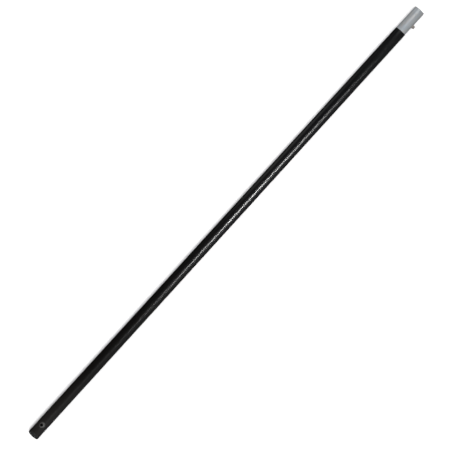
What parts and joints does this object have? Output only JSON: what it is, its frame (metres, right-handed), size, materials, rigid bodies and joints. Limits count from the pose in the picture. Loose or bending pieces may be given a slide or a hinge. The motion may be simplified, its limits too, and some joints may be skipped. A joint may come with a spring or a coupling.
{
  "type": "roller extension pole",
  "caption": "Straight sectional extension pole for paint rollers: a black coated tube with a button hole, a plugged butt end, and a bare spigot with a spring snap button.",
  "frame": {"origin": "centre of the flat in the end plug's face, at the butt end of the pole", "axes": "+X along the pole to the spigot's tip; +Z out of the button hole near the butt; the snap button points along -Y"},
  "size_m": [1.6764, 0.0412, 0.035],
  "materials": {
    "tube_coating": "semi-gloss black powder coat",
    "spigot_metal": "satin drawn aluminium",
    "rivet_metal": "satin",
    "plated_steel": "broken end, zinc plated",
    "button_metal": "turned, nickel plated",
    "spring_steel": "tempered strip",
    "plug_plastic": "moulded polyethylene"
  },
  "bodies": {
    "pole": {"main_tube": "tube_coating", "spigot_tube": "spigot_metal", "spigot_rivet_button_side": "rivet_metal", "spigot_rivet_far_side": "rivet_metal", "rivet_stem_button_side": "plated_steel", "rivet_stem_far_side": "plated_steel", "button_spring": "spring_steel"},
    "button": {"snap_button": "button_metal"},
    "plug": {"end_plug": "plug_plastic"}
  },
  "joints": [
    {"name": "button_press", "type": "slide", "parent": "pole", "child": "button", "axis": [0, 1, 0], "range_m": [0, 0.0074], "stiffness_N_per_m": 1200, "springref_m": -0.004, "deforming": ["button_spring"]},
    {"name": "plug_pull", "type": "slide", "parent": "pole", "child": "plug", "axis": [-1, 0, 0], "range_m": [0, 0.03]}
  ]
}
